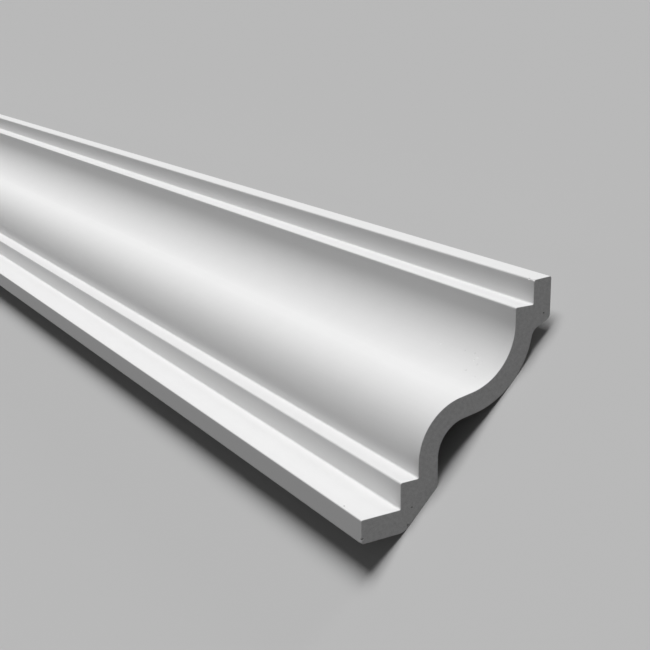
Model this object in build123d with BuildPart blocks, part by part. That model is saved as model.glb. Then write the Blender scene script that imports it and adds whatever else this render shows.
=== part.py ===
from build123d import *
import math
import os

# Cornice moulding: one straight stock length of a thin-walled crown section, sawn square at both ends.
#
# The section is drawn as it stands on its lip: local x runs back to the wall and local y runs up.
# It is then turned to lie on its back, as a loose length rests on a level floor, with the front upwards.
# Row frame: X along the length, Z up, origin under the middle of the length and of the width.
# All sizes are in millimetres and all angles in degrees.

# Stock
stock_length = 2000.0

# Front of the section, from the lip up to the crest
lip_rise = 10.8
lip_tread = 19.2
step_rise = 11.9
step_tread = 8.9
foot_rise = 6.8
ovolo_radius = 25.2
ramp_angle = 10.0
ramp_length = 6.3
cove_radius = 26.5
head_rise = 7.2
shoulder_tread = 9.4
crest_rise = 10.7
crest_width = 9.4
crest_draft = 3.5

# Back of the section, from the wall flange down to the heel
flange_height = 18.3
flange_slope = 26.0
wall = 9.8
heel_stock = 8.9
bevel_angle = 45.0

# Roundings, from the nose up the front to the crest and down the back to the heel
nose_radius = 0.6
lip_arris_radius = 0.6
lip_root_radius = 0.7
step_arris_radius = 0.8
step_root_radius = 0.7
head_arris_radius = 0.7
shoulder_root_radius = 0.7
crest_arris_radius = 0.8
crest_back_radius = 1.0
flange_corner_radius = 2.4
flange_root_radius = 5.0
knee_radius = 4.0
heel_radius = 5.0


def corner_nearest(sketch, point):
    """The sketch's corner that lies nearest to a point."""
    return sketch.vertices().sort_by_distance(Vector(*point))[0]


# Levels and setbacks that follow from the sizes above
step_level = lip_rise + step_rise
foot_front = lip_tread + step_tread
cyma_turn = 90 - ramp_angle
knee_back = foot_front + wall

# The bevel runs heel_stock behind the lip's root, from the underside at the heel to the back at the knee
heel_back = lip_tread + (heel_stock - lip_rise * math.cos(math.radians(bevel_angle))) / math.sin(
    math.radians(bevel_angle)
)
knee_level = (knee_back - heel_back) * math.tan(math.radians(bevel_angle))

with BuildSketch() as section:
    with BuildLine() as outline:
        # Front: lip, lower step and the straight foot of the cyma
        steps = Polyline(
            (0, 0),
            (0, lip_rise),
            (lip_tread, lip_rise),
            (lip_tread, step_level),
            (foot_front, step_level),
            (foot_front, step_level + foot_rise),
        )
        # Cyma: a convex ovolo and a concave cove, joined by a short ramp
        ovolo = JernArc(steps @ 1, (0, 1), ovolo_radius, -cyma_turn)
        ramp = PolarLine(ovolo @ 1, ramp_length, angle=ramp_angle)
        cove = JernArc(ramp @ 1, ramp % 1, cove_radius, cyma_turn)
        # Head of the cyma, shoulder and crest
        shoulder = cove @ 1 + Vector(shoulder_tread, head_rise)
        crest_back = shoulder + Vector(
            crest_width, crest_rise + crest_width * math.tan(math.radians(crest_draft))
        )
        flange_corner = crest_back - Vector(0, flange_height)
        crown = Polyline(
            cove @ 1,
            cove @ 1 + Vector(0, head_rise),
            shoulder,
            shoulder + Vector(0, crest_rise),
            crest_back,
            flange_corner,
        )
        # Back: bevel, straight back and hollow, one wall behind the lip, foot and ovolo
        heel = Polyline(
            (0, 0),
            (heel_back, 0),
            (knee_back, knee_level),
            (knee_back, step_level + foot_rise),
        )
        hollow = JernArc(heel @ 1, (0, 1), ovolo_radius - wall, -cyma_turn)
        back_ramp = PolarLine(hollow @ 1, ramp_length, angle=ramp_angle)
        # Bulge behind the cove, up to the sloping underside of the wall flange
        full_bulge = JernArc(back_ramp @ 1, back_ramp % 1, cove_radius + wall, cyma_turn, mode=Mode.PRIVATE)
        slope_direction = Vector(-1, 0).rotate(Axis.Z, flange_slope)
        flange_underside = IntersectingLine(flange_corner, slope_direction, full_bulge)
        bulge = TangentArc(back_ramp @ 1, flange_underside @ 1, tangent=back_ramp % 1)
    make_face()
    corner_radii = [
        ((0, 0), nose_radius),
        ((0, lip_rise), lip_arris_radius),
        ((lip_tread, lip_rise), lip_root_radius),
        ((lip_tread, step_level), step_arris_radius),
        ((foot_front, step_level), step_root_radius),
        (cove @ 1 + Vector(0, head_rise), head_arris_radius),
        (shoulder, shoulder_root_radius),
        (shoulder + Vector(0, crest_rise), crest_arris_radius),
        (crest_back, crest_back_radius),
        (flange_corner, flange_corner_radius),
        (flange_underside @ 1, flange_root_radius),
        ((knee_back, knee_level), knee_radius),
        ((heel_back, 0), heel_radius),
    ]
    for corner, radius in corner_radii:
        fillet(corner_nearest(section, corner), radius)

# The length lies on its rounded knee and its bulge, so the floor is the line that touches both
knee = section.edges().filter_by(GeomType.CIRCLE).sort_by_distance(Vector(knee_back, knee_level))[0]
between = bulge.arc_center - knee.arc_center
floor_slope = math.degrees(
    math.atan2(between.Y, between.X) - math.asin((bulge.radius - knee.radius) / between.length)
)
lying = section.sketch.rotate(Axis.Z, -floor_slope)
seat = lying.bounding_box()

with BuildPart() as cornice_moulding:
    with BuildSketch(Plane.YZ.offset(-stock_length / 2)):
        add(lying.moved(Location((-seat.center().X, -seat.min.Y))))
    extrude(amount=stock_length)

os.makedirs("parts", exist_ok=True)
cornice_moulding.part.label = "cornice_moulding"
export_step(cornice_moulding.part, "parts/cornice_moulding.step")
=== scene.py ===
import math
from typing import NamedTuple

import bpy
from bpy.props import FloatProperty, FloatVectorProperty, IntProperty, PointerProperty
from mathutils import Matrix, Vector


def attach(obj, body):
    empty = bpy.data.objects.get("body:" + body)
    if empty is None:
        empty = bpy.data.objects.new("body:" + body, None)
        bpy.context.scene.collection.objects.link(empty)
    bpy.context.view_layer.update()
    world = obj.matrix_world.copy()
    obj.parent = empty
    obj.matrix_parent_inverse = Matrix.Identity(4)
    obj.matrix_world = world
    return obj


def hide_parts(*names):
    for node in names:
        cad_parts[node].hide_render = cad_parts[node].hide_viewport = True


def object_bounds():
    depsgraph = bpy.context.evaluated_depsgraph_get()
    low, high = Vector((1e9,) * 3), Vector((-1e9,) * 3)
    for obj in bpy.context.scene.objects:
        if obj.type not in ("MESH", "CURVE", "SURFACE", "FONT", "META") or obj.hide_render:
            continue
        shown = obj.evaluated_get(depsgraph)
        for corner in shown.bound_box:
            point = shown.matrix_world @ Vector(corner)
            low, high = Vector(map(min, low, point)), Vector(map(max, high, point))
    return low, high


# Cornice moulding: one straight length of thin-walled crown section, sawn square, on a plain pale floor.
#
# The section is drawn standing on its lip, with x back to the wall and y up, and is then turned to lie on
# its back as the frame has it. Places near the photographed sawn end are given in three directions of the
# standing section: back to the wall, along the length from that end, and up.

bl_info = {
    "name": "Cornice moulding",
    "version": (1, 0, 0),
    "blender": (4, 5, 0),
    "location": "3D View > Sidebar > Cornice",
    "description": "Makes a sawn length of primed cornice moulding and the studio it is shown in",
    "category": "Add Mesh",
}

MM = 0.001
BODY = "root"
NODE = "cornice_moulding"

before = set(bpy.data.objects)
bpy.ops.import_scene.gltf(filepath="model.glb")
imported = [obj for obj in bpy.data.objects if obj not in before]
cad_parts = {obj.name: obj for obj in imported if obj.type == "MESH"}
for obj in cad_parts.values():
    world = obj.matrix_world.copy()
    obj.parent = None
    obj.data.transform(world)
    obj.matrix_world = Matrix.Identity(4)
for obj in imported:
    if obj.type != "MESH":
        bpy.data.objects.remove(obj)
CAD_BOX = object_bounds()
STOCK_LENGTH = CAD_BOX[1].x - CAD_BOX[0].x

# The mesh
RING_SPACING = 20 * MM  # between the rings that the sweep sets along the length
SLIVER = 0.001 * MM  # corners of the cut mesh that are nearer than this are merged
SHARP_ANGLE = math.radians(30)  # from here on an edge is shaded sharp
SQUARE_ON = 0.9  # least share of a sawn face's normal that points along the length

# Waves of the sawn arrises, and grain on the walls of the marks
FRAY_LENGTH = 3 * MM
GRAIN_LENGTH = 0.5 * MM

# Fineness of the finishes' patterns, for each metre
MOTTLE_SCALE = 90.0
DRAW_LINE_SCALE = 800.0
PEEL_SCALE = 650.0
DRY_GRAIN_SCALE = 3200.0
CELL_SCALE = 2600.0
TEAR_SCALE = 600.0

# Depth of the primer's skin and of the torn foam
SKIN_DEPTH = 0.02 * MM
TORN_DEPTH = 0.08 * MM

# Nearest distance at which the camera sees anything
NEAREST_SEEN = 10 * MM


# Settings


class SectionSizes(bpy.types.PropertyGroup):
    """The section's driving sizes, as the part has them."""

    length: FloatProperty(
        name="Length", description="Length between the sawn ends", default=STOCK_LENGTH, unit="LENGTH"
    )
    lip_rise: FloatProperty(
        name="Lip rise", description="Height of the lip's face", default=10.8 * MM, unit="LENGTH"
    )
    lip_tread: FloatProperty(
        name="Lip tread", description="Depth of the lip's flat top", default=19.2 * MM, unit="LENGTH"
    )
    step_rise: FloatProperty(
        name="Step rise", description="Height of the lower step's face", default=11.9 * MM, unit="LENGTH"
    )
    step_tread: FloatProperty(
        name="Step tread", description="Depth of the lower step's top", default=8.9 * MM, unit="LENGTH"
    )
    foot_rise: FloatProperty(
        name="Foot rise", description="Straight foot of the cyma", default=6.8 * MM, unit="LENGTH"
    )
    ovolo_radius: FloatProperty(
        name="Ovolo radius", description="Convex lower part of the cyma", default=25.2 * MM, unit="LENGTH"
    )
    ramp_angle: FloatProperty(
        name="Ramp angle",
        description="Rise of the ramp between ovolo and cove",
        default=math.radians(10.0),
        subtype="ANGLE",
    )
    ramp_length: FloatProperty(
        name="Ramp length", description="Ramp between ovolo and cove", default=6.3 * MM, unit="LENGTH"
    )
    cove_radius: FloatProperty(
        name="Cove radius", description="Concave upper part of the cyma", default=26.5 * MM, unit="LENGTH"
    )
    head_rise: FloatProperty(
        name="Head rise", description="Straight head of the cyma", default=7.2 * MM, unit="LENGTH"
    )
    shoulder_tread: FloatProperty(
        name="Shoulder tread", description="Depth of the upper step", default=9.4 * MM, unit="LENGTH"
    )
    crest_rise: FloatProperty(
        name="Crest rise", description="Height of the crest's face", default=10.7 * MM, unit="LENGTH"
    )
    crest_width: FloatProperty(
        name="Crest width", description="Depth of the crest's top", default=9.4 * MM, unit="LENGTH"
    )
    crest_draft: FloatProperty(
        name="Crest draft",
        description="Slope of the crest's top",
        default=math.radians(3.5),
        subtype="ANGLE",
    )
    flange_height: FloatProperty(
        name="Flange height", description="Height of the wall flange", default=18.3 * MM, unit="LENGTH"
    )
    flange_slope: FloatProperty(
        name="Flange slope",
        description="Slope of the wall flange's underside",
        default=math.radians(26.0),
        subtype="ANGLE",
    )
    wall: FloatProperty(
        name="Wall", description="Thickness behind the cyma", default=9.8 * MM, unit="LENGTH"
    )
    heel_stock: FloatProperty(
        name="Heel stock",
        description="Thickness from the lip's root to the bevel",
        default=8.9 * MM,
        unit="LENGTH",
    )
    bevel_angle: FloatProperty(
        name="Bevel angle",
        description="Slope of the bevel behind the lip",
        default=math.radians(45.0),
        subtype="ANGLE",
    )


class SectionRoundings(bpy.types.PropertyGroup):
    """The radii of the section's corners."""

    nose: FloatProperty(
        name="Nose", description="Lip's lower front corner", default=0.6 * MM, unit="LENGTH"
    )
    lip_arris: FloatProperty(
        name="Lip arris", description="Lip's upper front corner", default=0.6 * MM, unit="LENGTH"
    )
    lip_root: FloatProperty(
        name="Lip root", description="Inner corner of lip and lower step", default=0.7 * MM, unit="LENGTH"
    )
    step_arris: FloatProperty(
        name="Step arris", description="Lower step's outer corner", default=0.8 * MM, unit="LENGTH"
    )
    step_root: FloatProperty(
        name="Step root", description="Inner corner of step and foot", default=0.7 * MM, unit="LENGTH"
    )
    head_arris: FloatProperty(
        name="Head arris", description="Corner of head and shoulder", default=0.7 * MM, unit="LENGTH"
    )
    shoulder_root: FloatProperty(
        name="Shoulder root",
        description="Inner corner of shoulder and crest",
        default=0.7 * MM,
        unit="LENGTH",
    )
    crest_arris: FloatProperty(
        name="Crest arris", description="Crest's front corner", default=0.8 * MM, unit="LENGTH"
    )
    crest_back: FloatProperty(
        name="Crest back", description="Top corner at the wall", default=1.0 * MM, unit="LENGTH"
    )
    flange_corner: FloatProperty(
        name="Flange corner", description="Lower corner at the wall", default=2.4 * MM, unit="LENGTH"
    )
    flange_root: FloatProperty(
        name="Flange root", description="Flange's inner corner", default=5.0 * MM, unit="LENGTH"
    )
    knee: FloatProperty(
        name="Knee", description="Corner of bevel and straight back", default=4.0 * MM, unit="LENGTH"
    )
    heel: FloatProperty(
        name="Heel", description="Corner of underside and bevel", default=5.0 * MM, unit="LENGTH"
    )


class SawnEndSettings(bpy.types.PropertyGroup):
    """The sawn arrises, the marks near them and the pores that the saw opens in the foam."""

    ease: FloatProperty(
        name="Ease", description="Wear of the sawn arrises", default=0.14 * MM, unit="LENGTH"
    )
    raggedness: FloatProperty(
        name="Raggedness", description="Unevenness of the marks' walls", default=0.15 * MM, unit="LENGTH"
    )
    pore_spacing: FloatProperty(
        name="Pore spacing",
        description="Least distance between the small pores",
        default=2.4 * MM,
        unit="LENGTH",
    )
    smallest_pore: FloatProperty(
        name="Smallest pore", description="Radius of the finest pores", default=0.08 * MM, unit="LENGTH"
    )
    largest_pore: FloatProperty(
        name="Largest pore", description="Radius of the coarse pores", default=0.22 * MM, unit="LENGTH"
    )
    seed: IntProperty(name="Seed", description="Scatter of the small pores", default=7, min=0)


class FinishSettings(bpy.types.PropertyGroup):
    """Colours of the primer and of the sawn foam."""

    primer: FloatVectorProperty(
        name="Primer",
        description="Matte white primer on the moulded faces",
        default=(0.87, 0.87, 0.87),
        subtype="COLOR",
        min=0,
        max=1,
    )
    primer_shade: FloatVectorProperty(
        name="Primer shade",
        description="Duller patches of the primer",
        default=(0.83, 0.83, 0.83),
        subtype="COLOR",
        min=0,
        max=1,
    )
    foam: FloatVectorProperty(
        name="Foam",
        description="Sawn faces of the foam",
        default=(0.94, 0.94, 0.94),
        subtype="COLOR",
        min=0,
        max=1,
    )
    # The foam's darker colour: random torn patches, and painted shade in the cell bottoms
    foam_dark_and_cell_shade: FloatVectorProperty(
        name="Foam shade",
        description="Cell bottoms of the sawn foam",
        default=(0.75, 0.75, 0.75),
        subtype="COLOR",
        min=0,
        max=1,
    )


class StudioSettings(bpy.types.PropertyGroup):
    """The floor, the lamps and the camera."""

    floor_size: FloatProperty(
        name="Floor size", description="Side of the floor", default=40.0, unit="LENGTH"
    )
    floor_colour: FloatVectorProperty(
        name="Floor colour",
        description="Colour that the camera sees",
        default=(0.62, 0.62, 0.62),
        subtype="COLOR",
        min=0,
        max=1,
    )
    floor_bounce: FloatVectorProperty(
        name="Floor bounce",
        description="Colour that the floor gives back to the moulding",
        default=(0.10, 0.10, 0.10),
        subtype="COLOR",
        min=0,
        max=1,
    )
    key_source: FloatVectorProperty(
        name="Key source",
        description="Direction that the key light comes from: back, along and up the standing section",
        default=(-0.17, 0.0, 0.98),
        subtype="DIRECTION",
    )
    key_strength: FloatProperty(
        name="Key", description="Strength of the key light", default=2.6, min=0
    )
    key_softness: FloatProperty(
        name="Key softness",
        description="Apparent size of the key lamp",
        default=math.radians(30.0),
        subtype="ANGLE",
    )
    back_source: FloatVectorProperty(
        name="Back source",
        description="Direction that the back light comes from, given the same way",
        default=(0.52, -0.15, 0.84),
        subtype="DIRECTION",
    )
    back_strength: FloatProperty(
        name="Back", description="Strength of the back light", default=0.3, min=0
    )
    back_softness: FloatProperty(
        name="Back softness",
        description="Apparent size of the back lamp",
        default=math.radians(15.0),
        subtype="ANGLE",
    )
    fill_strength: FloatProperty(name="Fill", description="Light from all round", default=0.085, min=0)
    camera_place: FloatVectorProperty(
        name="Camera place",
        description="Camera back, along and up from the lip's corner at the sawn end",
        default=(-235.5 * MM, -374.8 * MM, 219.7 * MM),
        subtype="XYZ",
        unit="LENGTH",
    )
    camera_aim: FloatVectorProperty(
        name="Camera aim",
        description="Point on the sawn end's plane that the camera looks at",
        default=(-15.8 * MM, 0.0, 95.7 * MM),
        subtype="XYZ",
        unit="LENGTH",
    )
    camera_lens: FloatProperty(
        name="Lens", description="Focal length on a 36 mm sensor", default=66.0, subtype="DISTANCE_CAMERA"
    )
    camera_tilt: FloatProperty(
        name="Tilt",
        description="Turn of the camera about its line of sight, off the standing section's level",
        default=math.radians(-0.77),
        subtype="ANGLE",
    )


class CorniceSettings(bpy.types.PropertyGroup):
    """Everything that can be set, in one group on the scene."""

    sizes: PointerProperty(type=SectionSizes)
    roundings: PointerProperty(type=SectionRoundings)
    sawn_ends: PointerProperty(type=SawnEndSettings)
    finish: PointerProperty(type=FinishSettings)
    studio: PointerProperty(type=StudioSettings)


# Drawing the section


def polar(radius, angle):
    """The flat vector of that length in that direction."""
    return Vector((radius * math.cos(angle), radius * math.sin(angle)))


def heading(vector):
    """The direction of a flat vector, from the x axis."""
    return math.atan2(vector.y, vector.x)


class Rounding(NamedTuple):
    """A corner's arc: its centre, its radius, the angle that it starts at and the one it turns by."""

    centre: Vector
    radius: float
    start: float
    turn: float


def round_corner(before, corner, after, radius):
    """The arc of that radius that touches both straight runs of a corner."""
    into = (corner - before).normalized()
    out = (after - corner).normalized()
    turn = math.atan2(into.cross(out), into.dot(out))
    touch = corner - into * radius * math.tan(abs(turn) / 2)
    side = math.copysign(radius, turn)
    centre = touch + Vector((-into.y, into.x)) * side
    return Rounding(centre, radius, heading(touch - centre), turn)


class Template:
    """An outline, drawn anticlockwise. Each stretch leaves its last point to the next one."""

    run_piece = 2.0 * MM
    arc_piece = 0.8 * MM
    rounding_pieces = 6
    band = 0.15 * MM  # short piece beside each rounding, which keeps its shading off the flat

    def __init__(self):
        self.points = []

    def run(self, start, end):
        """A straight stretch."""
        pieces = max(1, round((end - start).length / self.run_piece))
        band = (end - start).normalized() * self.band
        first, last = start + band, end - band
        self.points.append(start)
        self.points += [first.lerp(last, i / pieces) for i in range(pieces + 1)]

    def arc(self, centre, radius, start, turn):
        """A round stretch."""
        pieces = max(self.rounding_pieces, math.ceil(abs(turn) * radius / self.arc_piece))
        self.points += [centre + polar(radius, start + turn * i / pieces) for i in range(pieces)]

    def runs(self, first, corners, last):
        """Straight runs from first to last, with a rounding at each corner between."""
        stops = [first] + [corner for corner, radius in corners] + [last]
        start = first
        for before, (corner, radius), after in zip(stops, corners, stops[2:]):
            rounding = round_corner(before, corner, after, radius)
            self.run(start, rounding.centre + polar(radius, rounding.start))
            self.arc(*rounding)
            start = rounding.centre + polar(radius, rounding.start + rounding.turn)
        self.run(start, last)


class Section:
    """The standing section: its levels, its centres, its outline and the roll that lays it down."""

    def __init__(self, sizes, roundings):
        self.sizes = sizes
        self.roundings = roundings
        bevel = sizes.bevel_angle

        # Steps of the front
        self.step_level = sizes.lip_rise + sizes.step_rise
        self.foot_front = sizes.lip_tread + sizes.step_tread
        self.foot_level = self.step_level + sizes.foot_rise

        # Cyma
        across_ramp = sizes.ramp_angle + math.pi / 2
        self.ovolo_centre = Vector((self.foot_front + sizes.ovolo_radius, self.foot_level))
        self.ramp_start = self.ovolo_centre + polar(sizes.ovolo_radius, across_ramp)
        self.ramp_end = self.ramp_start + polar(sizes.ramp_length, sizes.ramp_angle)
        self.cove_centre = self.ramp_end + polar(sizes.cove_radius, across_ramp)
        self.cove_end = self.cove_centre + Vector((sizes.cove_radius, 0))

        # Head, shoulder and crest
        self.head = self.cove_end + Vector((0, sizes.head_rise))
        self.shoulder = self.head + Vector((sizes.shoulder_tread, 0))
        self.crest_front = self.shoulder + Vector((0, sizes.crest_rise))
        crest_slope = math.tan(sizes.crest_draft)
        self.crest_back = self.crest_front + Vector((sizes.crest_width, sizes.crest_width * crest_slope))
        self.flange_corner = self.crest_back - Vector((0, sizes.flange_height))

        # Back
        heel_setback = (sizes.heel_stock - sizes.lip_rise * math.cos(bevel)) / math.sin(bevel)
        self.heel = Vector((sizes.lip_tread + heel_setback, 0))
        self.knee_back = self.foot_front + sizes.wall
        self.knee = Vector((self.knee_back, (self.knee_back - self.heel.x) * math.tan(bevel)))
        self.back_top = Vector((self.knee_back, self.foot_level))
        self.bulge_radius = sizes.cove_radius + sizes.wall

    def flange_root(self):
        """The arc between the flange's underside and the bulge, and where it meets each of them."""
        radius = self.roundings.flange_root
        slope = self.sizes.flange_slope
        inward = -polar(1, slope)
        outside = Vector((math.sin(slope), -math.cos(slope)))
        reach = self.flange_corner + outside * radius - self.cove_centre
        along = reach.dot(inward)
        spread = self.bulge_radius + radius
        centre_way = -along - math.sqrt(along**2 - reach.length_squared + spread**2)
        centre = self.cove_centre + reach + inward * centre_way
        on_bulge = self.cove_centre + (centre - self.cove_centre) * (self.bulge_radius / spread)
        on_underside = centre - outside * radius
        start = heading(on_bulge - centre)
        turn = -((start - heading(on_underside - centre)) % math.tau)
        return Rounding(centre, radius, start, turn), on_bulge, on_underside

    def roll(self):
        """The angle that lays the section on its knee and its bulge."""
        knee = round_corner(self.heel, self.knee, self.back_top, self.roundings.knee)
        between = self.cove_centre - knee.centre
        return heading(between) - math.asin((self.bulge_radius - knee.radius) / between.length)

    def outline(self):
        """The closed outline, from the foot of the cyma round the lip and the back to the foot again."""
        sizes, roundings = self.sizes, self.roundings
        cyma_turn = math.pi / 2 - sizes.ramp_angle
        ramp_top = math.pi / 2 + sizes.ramp_angle
        ramp_back = polar(sizes.wall, sizes.ramp_angle - math.pi / 2)
        root, on_bulge, on_underside = self.flange_root()
        bulge_start = sizes.ramp_angle - math.pi / 2
        bulge_end = heading(on_bulge - self.cove_centre)

        template = Template()
        lip_corners = [
            (Vector((self.foot_front, self.step_level)), roundings.step_root),
            (Vector((sizes.lip_tread, self.step_level)), roundings.step_arris),
            (Vector((sizes.lip_tread, sizes.lip_rise)), roundings.lip_root),
            (Vector((0, sizes.lip_rise)), roundings.lip_arris),
            (Vector((0, 0)), roundings.nose),
            (self.heel, roundings.heel),
            (self.knee, roundings.knee),
        ]
        template.runs(Vector((self.foot_front, self.foot_level)), lip_corners, self.back_top)
        template.arc(self.ovolo_centre, sizes.ovolo_radius - sizes.wall, math.pi, -cyma_turn)
        template.run(self.ramp_start + ramp_back, self.ramp_end + ramp_back)
        template.arc(self.cove_centre, self.bulge_radius, bulge_start, bulge_end - bulge_start)
        template.arc(*root)
        crest_corners = [
            (self.flange_corner, roundings.flange_corner),
            (self.crest_back, roundings.crest_back),
            (self.crest_front, roundings.crest_arris),
            (self.shoulder, roundings.shoulder_root),
            (self.head, roundings.head_arris),
        ]
        template.runs(on_underside, crest_corners, self.cove_end)
        template.arc(self.cove_centre, sizes.cove_radius, 0, -cyma_turn)
        template.run(self.ramp_end, self.ramp_start)
        template.arc(self.ovolo_centre, sizes.ovolo_radius, ramp_top, cyma_turn)
        return template.points


class Lying:
    """Turns places of the standing section into the frame, where the moulding lies on its back."""

    def __init__(self, section):
        self.sawn_end = section.sizes.length / 2
        self.turn = Matrix.Rotation(-section.roll(), 2)
        points = [self.turn @ point for point in section.outline()]
        across = [point.x for point in points]
        self.shift = Vector((-(min(across) + max(across)) / 2, -min(point.y for point in points)))

    def flat(self, point):
        """A point of the section, across and above the floor."""
        return self.turn @ Vector(point) + self.shift

    def place(self, back, along, up):
        """A point given back to the wall, along from the photographed end, and up the section."""
        across, above = self.flat((back, up))
        return Vector((self.sawn_end - along, across, above))

    def direction(self, back, along, up):
        """A direction given the same way."""
        across, above = self.turn @ Vector((back, up))
        return Vector((-along, across, above))


# Nodes


class Socket:
    """A node's output that takes part in Python expressions. Each operator adds its Math node."""

    def __init__(self, maker, socket):
        self.maker = maker
        self.socket = socket

    def __getitem__(self, name):
        """Another output of the same node."""
        return Socket(self.maker, self.socket.node.outputs[name])

    def __add__(self, other):
        return self.maker.maths("ADD", self, other)

    def __sub__(self, other):
        return self.maker.maths("SUBTRACT", self, other)

    def __rsub__(self, other):
        return self.maker.maths("SUBTRACT", other, self)

    def __mul__(self, other):
        return self.maker.maths("MULTIPLY", self, other)

    def __truediv__(self, other):
        return self.maker.maths("DIVIDE", self, other)

    def __rtruediv__(self, other):
        return self.maker.maths("DIVIDE", other, self)

    def __gt__(self, other):
        return self.maker.maths("GREATER_THAN", self, other)

    def __or__(self, other):
        return self.maker.maths("MAXIMUM", self, other)

    __radd__ = __add__
    __rmul__ = __mul__
    __ror__ = __or__


class Maker:
    """Adds nodes to one tree."""

    def __init__(self, tree):
        self.tree = tree

    def node(self, kind, settings=None, values=None):
        """Adds a node, sets it up, fills or links its inputs, and returns its first output in use."""
        made = self.tree.nodes.new(kind)
        for name, value in (settings or {}).items():
            setattr(made, name, value)
        for name, value in (values or {}).items():
            for given in value if isinstance(value, list) else [value]:
                if isinstance(given, Socket):
                    self.tree.links.new(given.socket, made.inputs[name])
                else:
                    made.inputs[name].default_value = given
        used = [socket for socket in made.outputs if socket.enabled]
        return Socket(self, used[0]) if used else None

    def maths(self, operation, *terms):
        """Adds a Math node."""
        return self.node("ShaderNodeMath", {"operation": operation}, dict(enumerate(terms)))


# Geometry of the sawn length


class Mark(NamedTuple):
    """A small fault of the real length, cut as an egg that lies along it, on the standing section."""

    back: float
    along: float
    up: float
    radius: float
    half_length: float
    bares_foam: bool


def cove_dent(section, angle, along, half_width):
    """A shallow round rub through the primer of the cove, at an angle round the cove's centre."""
    rim_slope = math.radians(12)
    radius = half_width / math.sin(rim_slope)
    reach = section.sizes.cove_radius - half_width / math.tan(rim_slope)
    centre = section.cove_centre + polar(reach, angle)
    return Mark(centre.x, along, centre.y, radius, radius, True)


def worn_corner(corner, outward, depth, radius, half_length):
    """A corner of the section worn down at the very end, to a depth along its bisector."""
    centre = corner + polar(radius - depth, outward)
    return Mark(centre.x, 0, centre.y, radius, half_length, False)


def photographed_marks(section):
    """The marks near the photographed end: pores, worn corners, a chip, a notch, a speck and rubs."""
    lip_rise = section.sizes.lip_rise
    crest = section.crest_front
    # Each mark's place back, along and up, its radius and half length, and whether it bares the foam
    heel_pore = Mark(24.8 * MM, 0.3 * MM, 10.6 * MM, 0.5 * MM, 0.8 * MM, True)
    underside_pore = Mark(22.9 * MM, 0.6 * MM, 3.1 * MM, 0.6 * MM, 0.9 * MM, True)
    flange_pore = Mark(92.3 * MM, 0.5 * MM, 84.2 * MM, 0.45 * MM, 0.85 * MM, True)
    nose_chip = Mark(0.46 * MM, 0.2 * MM, 2.4 * MM, 0.6 * MM, 0.8 * MM, True)
    worn_arris = worn_corner(crest, math.radians(135), 0.55 * MM, 3.0 * MM, 3.2 * MM)
    worn_nose = worn_corner(Vector((0, 0)), math.radians(225), 0.6 * MM, 12.0 * MM, 10.0 * MM)
    crest_notch = Mark(crest.x, 3.6 * MM, crest.y, 0.75 * MM, 0.5 * MM, True)
    tread_speck = Mark(1.5 * MM, 15.7 * MM, lip_rise - 0.3 * MM, 0.5 * MM, 0.5 * MM, True)
    # Rubs in the cove: angle round its centre in degrees, then place along and half width in millimetres
    rubs = [
        (-43, 42.9, 0.5),
        (-41, 25.8, 0.5),
        (-40, 19.3, 0.7),
        (-42, 16.4, 0.8),
        (-46, 17.2, 0.5),
        (-45, 12.4, 0.55),
        (-49, 13.7, 0.75),
        (-59, 16.8, 0.7),
        (-62, 9.1, 0.7),
    ]
    dents = [
        cove_dent(section, math.radians(angle), along * MM, half_width * MM)
        for angle, along, half_width in rubs
    ]
    worn = [worn_arris, worn_nose, nose_chip, crest_notch]
    return [heel_pore, underside_pore, flange_pore, tread_speck] + worn + dents


def plain_object(name, mesh):
    """A new object of the scene."""
    made = bpy.data.objects.new(name, mesh)
    bpy.context.scene.collection.objects.link(made)
    return made


def outline_object(section, lying):
    """The lying outline as a closed loop of edges in the XY plane."""
    points = [lying.flat(point) for point in section.outline()]
    edges = [(i, (i + 1) % len(points)) for i in range(len(points))]
    mesh = bpy.data.meshes.new("section_outline")
    mesh.from_pydata([(point.x, point.y, 0) for point in points], edges, [])
    return plain_object(NODE + "_dressed", mesh)


def marks_object(section, lying):
    """The marks as points, with each one's size and whether it bares the foam."""
    marks = photographed_marks(section)
    mesh = bpy.data.meshes.new("marks")
    mesh.from_pydata([lying.place(mark.back, mark.along, mark.up) for mark in marks], [], [])
    reaches = [reach for mark in marks for reach in (mark.half_length, mark.radius, mark.radius)]
    size = mesh.attributes.new("size", "FLOAT_VECTOR", "POINT")
    size.data.foreach_set("vector", reaches)
    bares_foam = mesh.attributes.new("bares_foam", "FLOAT", "POINT")
    bares_foam.data.foreach_set("value", [float(mark.bares_foam) for mark in marks])
    return plain_object("marks", mesh)


LENGTH_INPUTS = [
    ("Outline", "NodeSocketGeometry"),
    ("Length", "NodeSocketFloat"),
    ("Ring Spacing", "NodeSocketFloat"),
    ("Ease", "NodeSocketFloat"),
    ("Marks", "NodeSocketObject"),
    ("Pore Spacing", "NodeSocketFloat"),
    ("Smallest Pore", "NodeSocketFloat"),
    ("Largest Pore", "NodeSocketFloat"),
    ("Seed", "NodeSocketInt"),
    ("Raggedness", "NodeSocketFloat"),
    ("Sliver", "NodeSocketFloat"),
    ("Primer", "NodeSocketMaterial"),
    ("Foam", "NodeSocketMaterial"),
]


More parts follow.
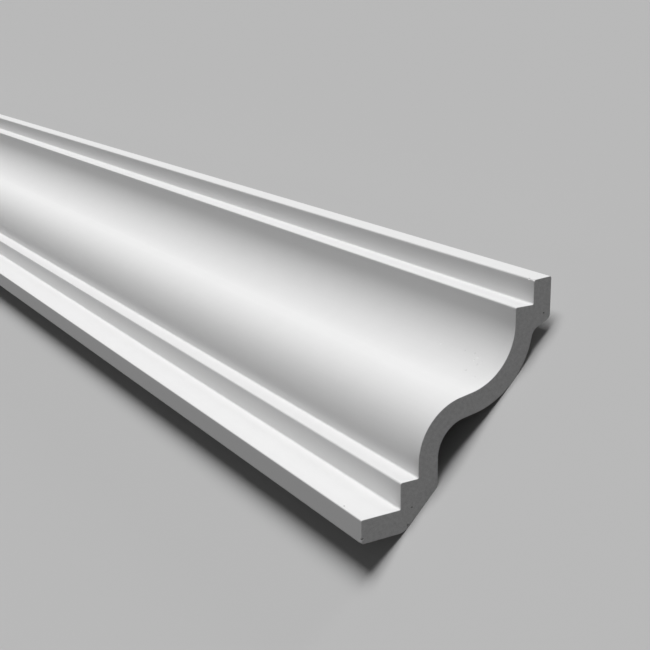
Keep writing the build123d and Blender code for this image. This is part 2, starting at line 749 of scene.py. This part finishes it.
def sawn_length_tree():
    """Sweeps an outline along a straight length, caps it, and cuts pores and marks out of it."""
    tree = bpy.data.node_groups.new("sawn_length", "GeometryNodeTree")
    for name, kind in LENGTH_INPUTS:
        tree.interface.new_socket(name, in_out="INPUT", socket_type=kind)
    tree.interface.new_socket("Geometry", in_out="OUTPUT", socket_type="NodeSocketGeometry")
    maker = Maker(tree)
    node = maker.node
    given = node("NodeGroupInput")

    def sign(socket):
        return maker.maths("SIGN", socket)

    def absolute(socket):
        return maker.maths("ABSOLUTE", socket)

    # The swept length, with the outline turned to face the way that it is swept
    loop = node("GeometryNodeMeshToCurve", values={"Mesh": given["Outline"]})
    profile = node("GeometryNodeTransform", values={"Geometry": loop, "Rotation": (0, 0, math.pi)})
    half_length = given["Length"] * 0.5
    start = node("ShaderNodeCombineXYZ", values={"X": half_length * -1})
    end = node("ShaderNodeCombineXYZ", values={"X": half_length})
    line = node("GeometryNodeCurvePrimitiveLine", values={"Start": start, "End": end})
    rings = node(
        "GeometryNodeResampleCurve",
        {"mode": "LENGTH"},
        {"Curve": line, "Length": given["Ring Spacing"]},
    )
    place = node("ShaderNodeSeparateXYZ", values={"Vector": node("GeometryNodeInputPosition")})["X"]
    second = node("GeometryNodeCurveEndpointSelection", values={"Start Size": 2, "End Size": 2})
    inset = node("ShaderNodeCombineXYZ", values={"X": sign(place) * (half_length - given["Ease"])})
    rings = node(
        "GeometryNodeSetPosition",
        values={"Geometry": rings, "Selection": second, "Position": inset},
    )
    first = node("GeometryNodeCurveEndpointSelection", values={"Start Size": 1, "End Size": 1})
    tip = node("ShaderNodeCombineXYZ", values={"X": sign(place) * half_length})
    rings = node(
        "GeometryNodeSetPosition",
        values={"Geometry": rings, "Selection": first, "Position": tip},
    )
    sweep = node(
        "GeometryNodeCurveToMesh",
        values={"Curve": rings, "Profile Curve": profile, "Fill Caps": True},
    )

    # The sawn arrises, worn unevenly. The noise is a half on average, so twice the ease gives its mean.
    normal = node("GeometryNodeInputNormal")
    sideways = node("ShaderNodeVectorMath", {"operation": "MULTIPLY"}, {0: normal, 1: (0, 1, 1)})
    inward = node("ShaderNodeVectorMath", {"operation": "NORMALIZE"}, {0: sideways})
    fray = node("ShaderNodeTexNoise", values={"Scale": 1 / FRAY_LENGTH, "Detail": 2.0})
    eased = node(
        "ShaderNodeVectorMath",
        {"operation": "SCALE"},
        {0: inward, "Scale": fray * given["Ease"] * -2},
    )
    at_end = absolute(place) > half_length - given["Ease"] * 0.5
    sweep = node(
        "GeometryNodeSetPosition",
        values={"Geometry": sweep, "Selection": at_end, "Offset": eased},
    )
    facing_out = node("ShaderNodeVectorMath", {"operation": "ABSOLUTE"}, {0: normal})
    endwise = node("ShaderNodeSeparateXYZ", values={"Vector": facing_out})["X"] > SQUARE_ON
    length = node(
        "GeometryNodeStoreNamedAttribute",
        {"data_type": "FLOAT", "domain": "FACE"},
        {"Geometry": sweep, "Name": "foam", "Value": endwise},
    )
    length = node("GeometryNodeSetMaterial", values={"Geometry": length, "Material": given["Primer"]})

    # Small pores scattered over the sawn ends
    scatter = node(
        "GeometryNodeDistributePointsOnFaces",
        {"distribute_method": "POISSON"},
        {
            "Mesh": length,
            "Selection": endwise,
            "Distance Min": given["Pore Spacing"],
            "Density Max": 1 / (given["Pore Spacing"] * given["Pore Spacing"]),
            "Seed": given["Seed"],
        },
    )
    pore_size = node(
        "FunctionNodeRandomValue",
        {"data_type": "FLOAT"},
        {2: given["Smallest Pore"], 3: given["Largest Pore"], "Seed": given["Seed"]},
    )
    small_ball = node("GeometryNodeMeshIcoSphere", values={"Radius": 1.0, "Subdivisions": 2})
    pores = node(
        "GeometryNodeInstanceOnPoints",
        values={"Points": scatter, "Instance": small_ball, "Scale": pore_size},
    )
    pores = node("GeometryNodeRealizeInstances", values={"Geometry": pores})
    pores = node(
        "GeometryNodeStoreNamedAttribute",
        {"data_type": "FLOAT", "domain": "FACE"},
        {"Geometry": pores, "Name": "foam", "Value": 1.0},
    )

    # The marks of the photographed end, as ragged eggs
    places = node("GeometryNodeObjectInfo", values={"Object": given["Marks"]})["Geometry"]
    points = node("GeometryNodeMeshToPoints", values={"Mesh": places})
    fine_ball = node("GeometryNodeMeshIcoSphere", values={"Radius": 1.0, "Subdivisions": 4})
    size = node("GeometryNodeInputNamedAttribute", {"data_type": "FLOAT_VECTOR"}, {"Name": "size"})
    eggs = node(
        "GeometryNodeInstanceOnPoints",
        values={"Points": points, "Instance": fine_ball, "Scale": size},
    )
    eggs = node("GeometryNodeRealizeInstances", values={"Geometry": eggs})
    grain = node("ShaderNodeTexNoise", values={"Scale": 1 / GRAIN_LENGTH, "Detail": 2.0})
    ragged = node(
        "ShaderNodeVectorMath",
        {"operation": "SCALE"},
        {0: normal, "Scale": (grain - 0.5) * given["Raggedness"]},
    )
    eggs = node("GeometryNodeSetPosition", values={"Geometry": eggs, "Offset": ragged})
    bares_foam = node("GeometryNodeInputNamedAttribute", {"data_type": "FLOAT"}, {"Name": "bares_foam"})
    eggs = node(
        "GeometryNodeStoreNamedAttribute",
        {"data_type": "FLOAT", "domain": "FACE"},
        {"Geometry": eggs, "Name": "foam", "Value": bares_foam},
    )

    cutters = node("GeometryNodeJoinGeometry", values={"Geometry": [pores, eggs]})
    cut = node(
        "GeometryNodeMeshBoolean",
        {"operation": "DIFFERENCE", "solver": "EXACT"},
        {"Mesh 1": length, "Mesh 2": cutters},
    )

    # No slivers. The mesh is cut into triangles first, because merging corners would fold a larger face.
    triangles = node("GeometryNodeTriangulate", values={"Mesh": cut})
    whole = node(
        "GeometryNodeMergeByDistance", values={"Geometry": triangles, "Distance": given["Sliver"]}
    )

    # Smooth round stretches, with the sawn arrises and the rims of pores and marks kept sharp
    edge_angle = node("GeometryNodeInputMeshEdgeAngle")["Unsigned Angle"]
    sharp = (edge_angle > SHARP_ANGLE) | cut["Intersecting Edges"]
    smooth = node(
        "GeometryNodeSetShadeSmooth",
        {"domain": "FACE"},
        {"Geometry": whole, "Shade Smooth": True},
    )
    shaded = node(
        "GeometryNodeSetShadeSmooth",
        {"domain": "EDGE"},
        {"Geometry": smooth, "Selection": sharp, "Shade Smooth": False},
    )
    bare = shaded
    for name in ("bares_foam", "size", "id"):
        bare = node("GeometryNodeRemoveAttribute", values={"Geometry": bare, "Name": name})
    real = node("GeometryNodeRealizeInstances", values={"Geometry": bare})
    primed = node("GeometryNodeSetMaterial", values={"Geometry": real, "Material": given["Primer"]})
    foam = node("GeometryNodeInputNamedAttribute", {"data_type": "FLOAT"}, {"Name": "foam"})
    finished = node(
        "GeometryNodeSetMaterial",
        values={"Geometry": primed, "Selection": foam > 0.5, "Material": given["Foam"]},
    )
    node("NodeGroupOutput", values={"Geometry": finished})
    return tree


# Materials


def principled_tree(name):
    """A new material, and a maker of nodes in its tree."""
    material = bpy.data.materials.new(name)
    material.use_nodes = True
    material.node_tree.nodes.clear()
    return material, Maker(material.node_tree)


def noise(node, place, scale, detail):
    """A noise from 0 to 1."""
    return node("ShaderNodeTexNoise", values={"Vector": place, "Scale": scale, "Detail": detail})["Fac"]


def between(node, share, low, high):
    """A colour between two others."""
    return node("ShaderNodeMix", {"data_type": "RGBA"}, {0: share, 6: (*low, 1), 7: (*high, 1)})


def primer_material(finish):
    """Matte primer off a mould: faint mottling and draw lines, an orange-peel skin and a dry grain."""
    material, maker = principled_tree("matte_white_primer")
    node = maker.node
    place = node("ShaderNodeTexCoord")["Object"]
    mottle = noise(node, place, MOTTLE_SCALE, 4.0)
    drawn = node("ShaderNodeVectorMath", {"operation": "MULTIPLY"}, {0: place, 1: (0.03, 1, 1)})
    lines = noise(node, drawn, DRAW_LINE_SCALE, 2.0)
    colour = between(node, mottle * 0.6 + lines * 0.4, finish.primer_shade, finish.primer)
    peel = noise(node, place, PEEL_SCALE, 2.0)
    grain = noise(node, place, DRY_GRAIN_SCALE, 1.0)
    skin = node(
        "ShaderNodeBump",
        values={"Height": peel * 0.75 + grain * 0.25, "Distance": SKIN_DEPTH, "Strength": 0.5},
    )
    shader = node(
        "ShaderNodeBsdfPrincipled",
        values={
            "Base Color": colour,
            "Roughness": 0.56 + mottle * 0.1,
            "Normal": skin,
            "Specular IOR Level": 0.35,
        },
    )
    node("ShaderNodeOutputMaterial", values={"Surface": shader})
    return material


def foam_material(finish):
    """Foam as the saw leaves it: fine broken cells, torn unevenly, with painted shade in the cell
    bottoms.
    """
    material, maker = principled_tree("sawn_white_foam")
    node = maker.node
    place = node("ShaderNodeTexCoord")["Object"]
    cells = node("ShaderNodeTexVoronoi", values={"Vector": place, "Scale": CELL_SCALE})["Distance"]
    tears = noise(node, place, TEAR_SCALE, 4.0)
    # Darker in random torn patches, and painted shade at the cell centres, which the bump sets low as
    # cell bottoms
    colour = between(node, tears * 1.8 + cells * 0.5 - 0.6, finish.foam_dark_and_cell_shade, finish.foam)
    torn = node(
        "ShaderNodeBump",
        values={"Height": cells * 0.6 + tears * 0.4, "Distance": TORN_DEPTH, "Strength": 0.6},
    )
    shader = node(
        "ShaderNodeBsdfPrincipled",
        values={
            "Base Color": colour,
            "Roughness": 0.82 + tears * 0.1,
            "Normal": torn,
            "Specular IOR Level": 0.25,
        },
    )
    node("ShaderNodeOutputMaterial", values={"Surface": shader})
    return material


def seen_directly(node):
    """One where the camera, a reflection or a view through glass looks, and zero for light on the way."""
    path = node("ShaderNodeLightPath")
    return path["Is Camera Ray"] | path["Is Glossy Ray"] | path["Is Transmission Ray"]


def floor_material(studio):
    """A plain pale floor that gives little light back."""
    material, maker = principled_tree("pale_floor")
    node = maker.node
    colour = between(node, seen_directly(node), studio.floor_bounce, studio.floor_colour)
    shader = node(
        "ShaderNodeBsdfPrincipled",
        values={"Base Color": colour, "Roughness": 1.0, "Specular IOR Level": 0.0},
    )
    node("ShaderNodeOutputMaterial", values={"Surface": shader})
    return material


def light_on_floor(lamps, fill):
    """How bright a white level floor looks, out in the open, under lamps and a fill from all round."""
    return fill + sum(strength * source.normalized().z / math.pi for source, strength in lamps)


# Operators


class CORNICE_OT_moulding(bpy.types.Operator):
    """Makes the sawn length of moulding, with its primer, its bare ends and its marks"""

    bl_idname = "cornice.moulding"
    bl_label = "Make the moulding"

    def execute(self, context):
        settings = context.scene.cornice
        section = Section(settings.sizes, settings.roundings)
        lying = Lying(section)
        draft = outline_object(section, lying)
        marks = marks_object(section, lying)
        tree = sawn_length_tree()
        values = {
            "Length": settings.sizes.length,
            "Ring Spacing": RING_SPACING,
            "Ease": settings.sawn_ends.ease,
            "Marks": marks,
            "Pore Spacing": settings.sawn_ends.pore_spacing,
            "Smallest Pore": settings.sawn_ends.smallest_pore,
            "Largest Pore": settings.sawn_ends.largest_pore,
            "Seed": settings.sawn_ends.seed,
            "Raggedness": settings.sawn_ends.raggedness,
            "Sliver": SLIVER,
            "Primer": primer_material(settings.finish),
            "Foam": foam_material(settings.finish),
        }
        modifier = draft.modifiers.new("sawn_length", "NODES")
        modifier.node_group = tree
        for socket in tree.interface.items_tree:
            if socket.name in values:
                modifier[socket.identifier] = values[socket.name]

        evaluated = draft.evaluated_get(context.evaluated_depsgraph_get())
        finished = bpy.data.meshes.new_from_object(evaluated)
        if not finished.polygons:
            raise RuntimeError("The cut left nothing of the moulding. Set another seed or pore spacing.")
        finished.attributes.remove(finished.attributes["foam"])
        draft.modifiers.remove(modifier)
        draft.data = finished
        bpy.data.objects.remove(marks)
        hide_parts(NODE)
        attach(draft, BODY)
        return {"FINISHED"}


class CORNICE_OT_studio(bpy.types.Operator):
    """Makes the floor, the lamps and the camera"""

    bl_idname = "cornice.studio"
    bl_label = "Make the studio"

    def execute(self, context):
        settings = context.scene.cornice
        studio = settings.studio
        lying = Lying(Section(settings.sizes, settings.roundings))
        key_source = lying.direction(*studio.key_source)
        back_source = lying.direction(*studio.back_source)
        lamps = [(key_source, studio.key_strength), (back_source, studio.back_strength)]
        self.make_floor(studio)
        self.make_lamp("key", key_source, studio.key_strength, studio.key_softness)
        self.make_lamp("back", back_source, studio.back_strength, studio.back_softness)
        self.make_world(context, studio, light_on_floor(lamps, studio.fill_strength))
        self.make_camera(context, studio, lying)
        return {"FINISHED"}

    def make_floor(self, studio):
        half = studio.floor_size / 2
        mesh = bpy.data.meshes.new("floor")
        corners = [(-half, -half, 0), (half, -half, 0), (half, half, 0), (-half, half, 0)]
        mesh.from_pydata(corners, [], [(0, 1, 2, 3)])
        mesh.materials.append(floor_material(studio))
        plain_object("floor", mesh)

    def make_lamp(self, name, source, strength, softness):
        """A broad even lamp, given by the direction that its light comes from."""
        lamp = bpy.data.lights.new(name, "SUN")
        lamp.energy = strength
        lamp.angle = softness
        made = plain_object(name, lamp)
        made.rotation_mode = "QUATERNION"
        made.rotation_quaternion = source.to_track_quat("Z", "Y")

    def make_world(self, context, studio, floor_light):
        """Even light from all round, and a backdrop in the lit floor's tone, so that no horizon shows."""
        world = bpy.data.worlds.new("studio")
        world.use_nodes = True
        world.node_tree.nodes.clear()
        node = Maker(world.node_tree).node
        fill = (studio.fill_strength,) * 3
        backdrop = [channel * floor_light for channel in studio.floor_colour]
        colour = between(node, seen_directly(node), fill, backdrop)
        light = node("ShaderNodeBackground", values={"Color": colour})
        node("ShaderNodeOutputWorld", values={"Surface": light})
        context.scene.world = world

    def make_camera(self, context, studio, lying):
        """The camera stands nearly level with the standing section, so it is rolled in the frame."""
        place = lying.place(*studio.camera_place)
        backward = (place - lying.place(*studio.camera_aim)).normalized()
        level = lying.direction(0, 0, 1).cross(backward).normalized()
        right = Matrix.Rotation(studio.camera_tilt, 3, backward) @ level
        upward = backward.cross(right)
        data = bpy.data.cameras.new("camera")
        data.lens = studio.camera_lens
        data.clip_start = NEAREST_SEEN
        camera = plain_object("camera", data)
        turned = Matrix((right, upward, backward)).transposed().to_4x4()
        camera.matrix_world = Matrix.Translation(place) @ turned
        context.scene.camera = camera
        context.scene.view_settings.view_transform = "Standard"


class CORNICE_PT_panel(bpy.types.Panel):
    """The cornice's settings and operators"""

    bl_label = "Cornice moulding"
    bl_space_type = "VIEW_3D"
    bl_region_type = "UI"
    bl_category = "Cornice"

    def draw(self, context):
        settings = context.scene.cornice
        for title, group in (
            ("Section", settings.sizes),
            ("Roundings", settings.roundings),
            ("Sawn ends", settings.sawn_ends),
            ("Finish", settings.finish),
            ("Studio", settings.studio),
        ):
            box = self.layout.box()
            box.label(text=title)
            for name in group.__annotations__:
                box.prop(group, name)
        self.layout.operator(CORNICE_OT_moulding.bl_idname)
        self.layout.operator(CORNICE_OT_studio.bl_idname)


CLASSES = (
    SectionSizes,
    SectionRoundings,
    SawnEndSettings,
    FinishSettings,
    StudioSettings,
    CorniceSettings,
    CORNICE_OT_moulding,
    CORNICE_OT_studio,
    CORNICE_PT_panel,
)


def register():
    for made in CLASSES:
        bpy.utils.register_class(made)
    bpy.types.Scene.cornice = PointerProperty(type=CorniceSettings)


def unregister():
    del bpy.types.Scene.cornice
    for made in reversed(CLASSES):
        bpy.utils.unregister_class(made)


def main():
    register()
    bpy.ops.cornice.moulding()
    bpy.ops.cornice.studio()


if __name__ == "__main__":
    main()
